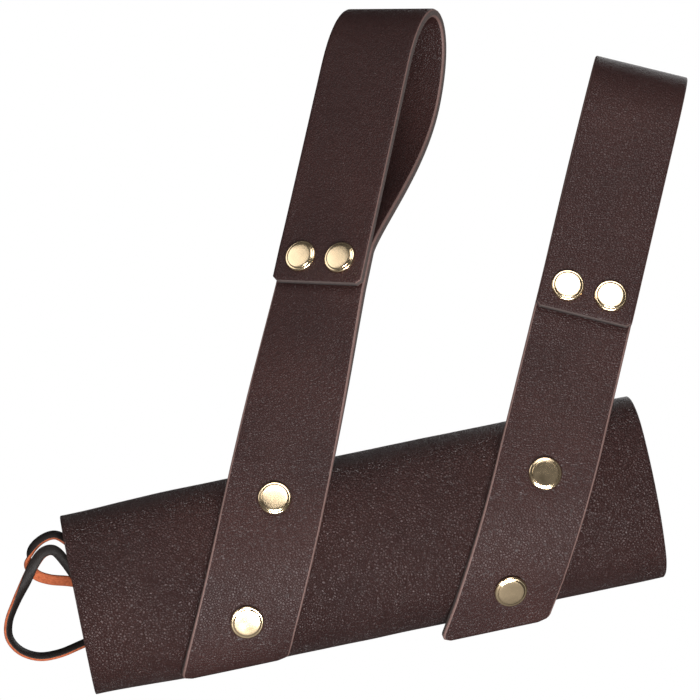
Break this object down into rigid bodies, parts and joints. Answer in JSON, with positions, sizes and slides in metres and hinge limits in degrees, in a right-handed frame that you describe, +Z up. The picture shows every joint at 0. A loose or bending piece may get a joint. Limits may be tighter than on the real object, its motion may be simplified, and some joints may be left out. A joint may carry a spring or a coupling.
{
  "type": "leather belt sleeve",
  "caption": "Open leather tube laced along its back and hung slanting from two riveted belt-loop straps; holds rolled brushes or another long thing at the waist.",
  "frame": {"origin": "on the centre line of a belt passed through the two loops, halfway between them", "axes": "+X along the belt towards the sleeve's high end, +Z up as worn, -Y to the riveted front"},
  "size_m": [0.2292, 0.0976, 0.278],
  "materials": {
    "sleeve_leather": "satin pebble grain",
    "strap_leather": "satin fine grain",
    "rivet_metal": "polished pale gold",
    "lace_leather": "suede"
  },
  "bodies": {
    "left_loop": {"left_strap_loop": "strap_leather", "left_loop_inner_rivet_cap": "rivet_metal", "left_loop_inner_rivet_post": "rivet_metal", "left_loop_outer_rivet_cap": "rivet_metal", "left_loop_outer_rivet_post": "rivet_metal"},
    "sleeve": {"sleeve_panel": "sleeve_leather", "left_strap_anchor": "strap_leather", "right_strap_anchor": "strap_leather", "left_upper_rivet_cap": "rivet_metal", "left_upper_rivet_post": "rivet_metal", "left_lower_rivet_cap": "rivet_metal", "left_lower_rivet_post": "rivet_metal", "right_upper_rivet_cap": "rivet_metal", "right_upper_rivet_post": "rivet_metal", "right_lower_rivet_cap": "rivet_metal", "right_lower_rivet_post": "rivet_metal", "back_lace": "lace_leather", "lace_upper_tail": "lace_leather", "lace_lower_tail": "lace_leather"},
    "right_loop": {"right_strap_loop": "strap_leather", "right_loop_inner_rivet_cap": "rivet_metal", "right_loop_inner_rivet_post": "rivet_metal", "right_loop_outer_rivet_cap": "rivet_metal", "right_loop_outer_rivet_post": "rivet_metal"}
  },
  "joints": [
    {"name": "left_strap_bend", "type": "hinge", "parent": "left_loop", "child": "sleeve", "pos_m": [-0.04377, -0.04964, -0.12815], "axis": [0.9886, -0.1383, 0.0594], "range_deg": [-90, 60], "stiffness_Nm_per_rad": 0.08, "springref_deg": 12.61},
    {"name": "right_strap_bend", "type": "hinge", "parent": "sleeve", "child": "right_loop", "pos_m": [0.04969, -0.04988, -0.0833], "axis": [0.988, -0.1539, 0.0115], "range_deg": [-60, 90], "stiffness_Nm_per_rad": 0.08, "springref_deg": 8.02}
  ]
}
